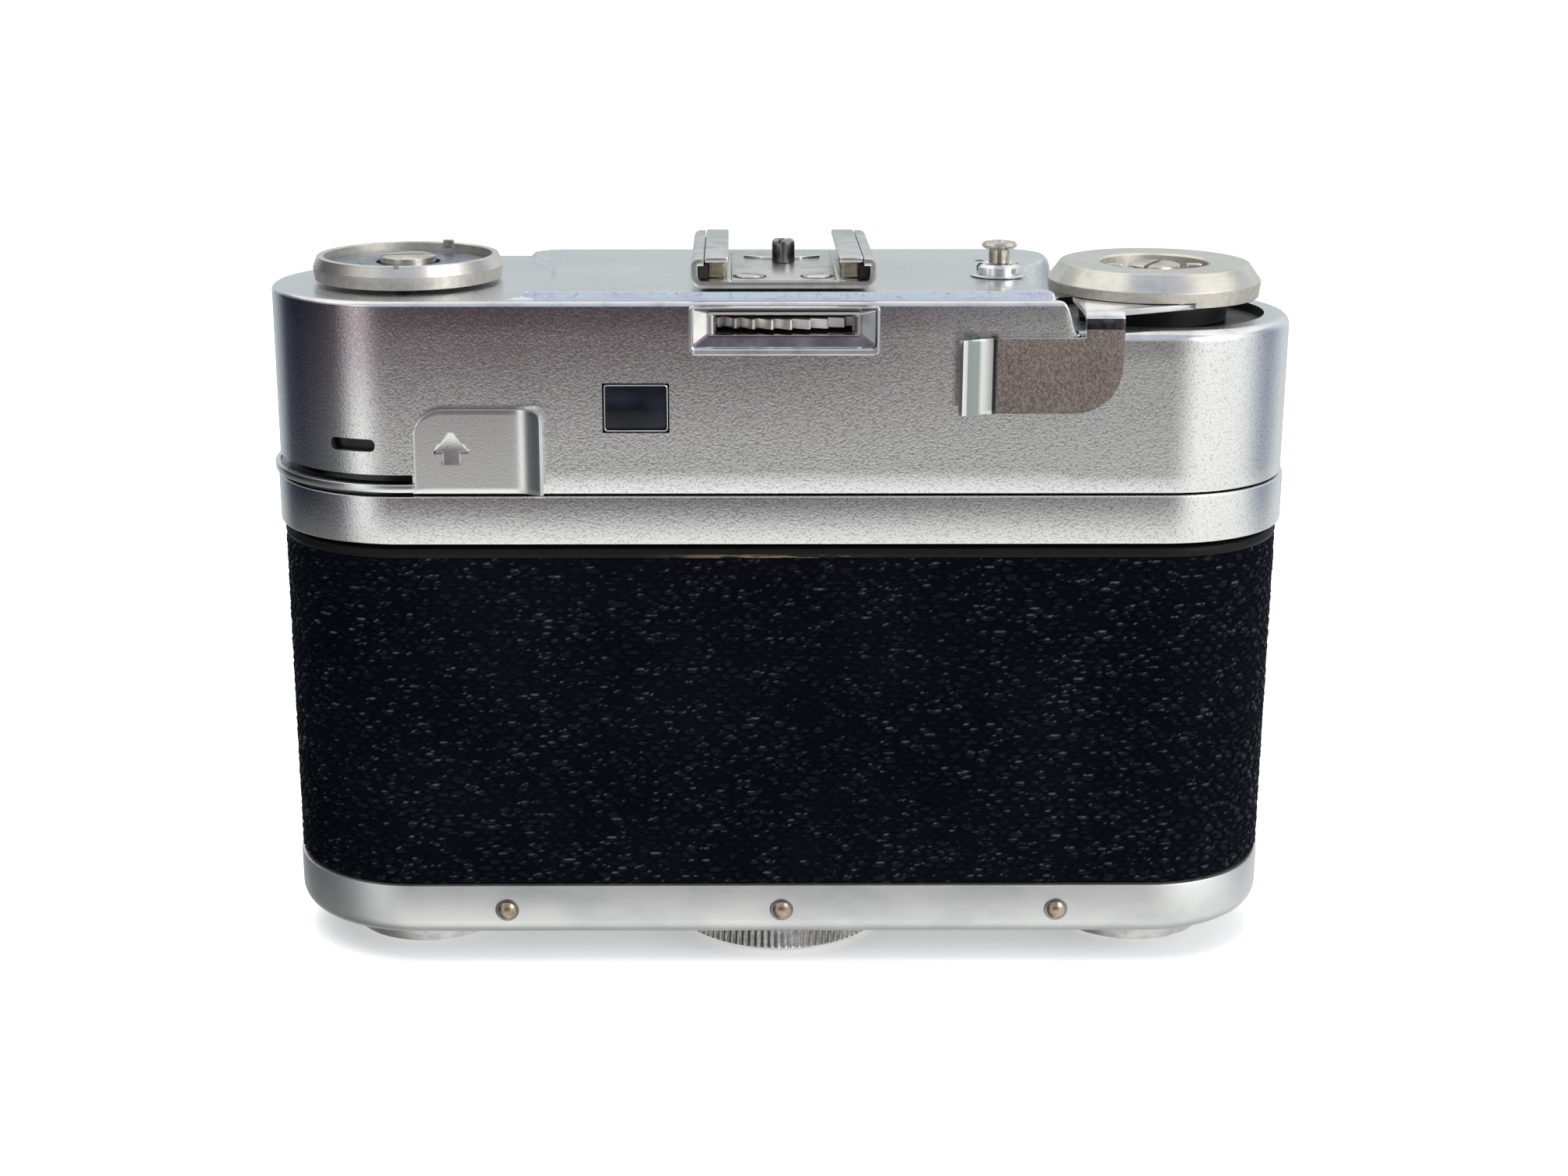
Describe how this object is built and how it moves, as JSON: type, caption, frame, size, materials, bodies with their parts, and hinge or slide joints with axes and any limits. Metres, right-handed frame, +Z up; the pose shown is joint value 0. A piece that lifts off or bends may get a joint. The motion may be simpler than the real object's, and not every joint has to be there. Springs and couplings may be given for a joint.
{
  "type": "rangefinder camera",
  "caption": "35 mm rangefinder film camera with a leather covered removable back, satin chrome top housing, lever advance, rewind knob, accessory shoe and leaf shutter lens.",
  "frame": {"origin": "on the plane the camera stands on, under the middle of its whole width and depth, lens included; the lock wheel's axis is at x 0.15 mm, y -11.3 mm", "axes": "+X to the right seen from behind, +Y towards the lens, +Z up"},
  "size_m": [0.116, 0.0586, 0.082],
  "materials": {
    "satin_chrome": "satin",
    "polished_chrome": "polished",
    "nickel": "satin",
    "aluminium": "satin",
    "black_metal": "matte",
    "leather": "grained",
    "brass": "satin",
    "spring_steel": "satin",
    "glass": "polished"
  },
  "bodies": {
    "camera_body": {"chassis": "black_metal", "top_ring": "satin_chrome", "top_housing": "satin_chrome", "thumbwheel_bezel": "satin_chrome", "front_leather_left": "leather", "front_leather_right": "leather", "accessory_shoe": "satin_chrome", "shoe_spring_left": "spring_steel", "shoe_spring_right": "spring_steel", "shoe_stop_pin": "spring_steel", "shoe_screw_left": "nickel", "shoe_screw_right": "nickel", "eyepiece_glass": "glass", "viewfinder_window": "glass", "rangefinder_window": "glass", "viewfinder_block": "black_metal", "beam_splitter": "glass", "release_collar": "satin_chrome", "release_spring": "spring_steel", "lens_mount": "satin_chrome", "shutter_housing": "black_metal", "rear_element": "glass", "flash_socket": "polished_chrome"},
    "counter_wheel": {"counter_wheel": "nickel"},
    "release_button": {"release_button": "nickel"},
    "advance": {"advance_lever": "satin_chrome", "advance_knob": "nickel", "advance_washer": "satin_chrome", "advance_screw": "nickel", "wind_gear": "brass"},
    "idler": {"idler_gear": "brass"},
    "sprocket": {"sprocket": "nickel", "sprocket_gear": "brass"},
    "take_up_spool": {"take_up_spool": "black_metal"},
    "rewind": {"rewind_knob": "nickel", "film_reminder_disc": "aluminium", "rewind_hub": "nickel", "rewind_shaft": "nickel", "rewind_tab": "nickel"},
    "rewind_release_lever": {"rewind_release_lever": "satin_chrome"},
    "back": {"back_shell": "black_metal", "back_leather": "leather", "base_plate": "aluminium", "base_rivet_left": "nickel", "base_rivet_centre": "nickel", "base_rivet_right": "nickel", "foot_left": "aluminium", "foot_right": "aluminium", "tripod_bush": "brass", "pressure_spring": "spring_steel"},
    "lock": {"lock_wheel": "satin_chrome", "lock_cam": "spring_steel"},
    "pressure_plate": {"pressure_plate": "black_metal"},
    "speed_ring": {"speed_ring": "aluminium"},
    "aperture_ring": {"aperture_ring": "aluminium"},
    "focus_ring": {"focus_ring": "aluminium"},
    "lens_cell": {"lens_barrel": "black_metal", "front_element": "glass"},
    "rangefinder_mirror": {"rangefinder_mirror": "polished_chrome"},
    "self_timer_lever": {"self_timer_lever": "satin_chrome"}
  },
  "joints": [
    {"name": "advance_swing", "type": "hinge", "parent": "camera_body", "child": "advance", "pos_m": [0.0424, -0.0113, 0.0751], "axis": [0, 0, 1], "range_deg": [0, 130]},
    {"name": "idler_turn", "type": "hinge", "parent": "camera_body", "child": "idler", "pos_m": [0.03163, -0.00804, 0.0547], "axis": [0, 0, 1], "range_deg": [-336, 0]},
    {"name": "sprocket_turn", "type": "hinge", "parent": "camera_body", "child": "sprocket", "pos_m": [0.02675, -0.0156, 0.0305], "axis": [0, 0, 1], "range_deg": [0, 181]},
    {"name": "take_up_turn", "type": "hinge", "parent": "camera_body", "child": "take_up_spool", "pos_m": [0.0424, -0.0113, 0.0305], "axis": [0, 0, 1], "range_deg": [0, 181]},
    {"name": "counter_turn", "type": "hinge", "parent": "camera_body", "child": "counter_wheel", "pos_m": [0.00015, -0.0129, 0.075], "axis": [0, 0, 1], "continuous": true},
    {"name": "release_press", "type": "slide", "parent": "camera_body", "child": "release_button", "axis": [0, 0, -1], "range_m": [0, 0.0012], "stiffness_N_per_m": 300, "springref_m": -0.002, "deforming": ["release_spring"]},
    {"name": "rewind_turn", "type": "hinge", "parent": "camera_body", "child": "rewind", "pos_m": [-0.0421, -0.0113, 0.078], "axis": [0, 0, 1], "continuous": true},
    {"name": "rewind_release_swing", "type": "hinge", "parent": "camera_body", "child": "rewind_release_lever", "pos_m": [-0.0421, -0.0113, 0.0568], "axis": [0, 0, 1], "range_deg": [-30, 0]},
    {"name": "back_slide", "type": "slide", "parent": "camera_body", "child": "back", "axis": [0, 0, -1], "range_m": [0, 0.045]},
    {"name": "lock_turn", "type": "hinge", "parent": "back", "child": "lock", "pos_m": [0.00015, -0.0113, 0.0015], "axis": [0, 0, 1], "range_deg": [0, 90]},
    {"name": "pressure_travel", "type": "slide", "parent": "back", "child": "pressure_plate", "axis": [0, -1, 0], "range_m": [0, 0.0005], "stiffness_N_per_m": 2000, "springref_m": -0.0005},
    {"name": "speed_turn", "type": "hinge", "parent": "camera_body", "child": "speed_ring", "pos_m": [0.00015, 0.0177, 0.0305], "axis": [0, 1, 0], "range_deg": [-60, 60]},
    {"name": "aperture_turn", "type": "hinge", "parent": "camera_body", "child": "aperture_ring", "pos_m": [0.00015, 0.0207, 0.0305], "axis": [0, 1, 0], "range_deg": [-40, 40]},
    {"name": "focus_turn", "type": "hinge", "parent": "camera_body", "child": "focus_ring", "pos_m": [0.00015, 0.0247, 0.0305], "axis": [0, 1, 0], "range_deg": [0, 160]},
    {"name": "focus_travel", "type": "slide", "parent": "camera_body", "child": "lens_cell", "axis": [0, 1, 0], "range_m": [0, 0.0015]},
    {"name": "mirror_turn", "type": "hinge", "parent": "camera_body", "child": "rangefinder_mirror", "pos_m": [0.01565, -0.0103, 0.064], "axis": [0, 0, 1], "range_deg": [0, 2]},
    {"name": "self_timer_swing", "type": "hinge", "parent": "camera_body", "child": "self_timer_lever", "pos_m": [-0.02445, 0.0122, 0.022], "axis": [0, 1, 0], "range_deg": [0, 100]}
  ],
  "couplings": [
    {"joint": "idler_turn", "follows": "advance_swing", "ratio": -2.5714},
    {"joint": "sprocket_turn", "follows": "advance_swing", "ratio": 1.3846},
    {"joint": "take_up_turn", "follows": "advance_swing", "ratio": 1.3846},
    {"joint": "focus_travel", "follows": "focus_turn", "m_per_rad": 0.000535},
    {"joint": "mirror_turn", "follows": "focus_turn", "ratio": 0.0124}
  ]
}
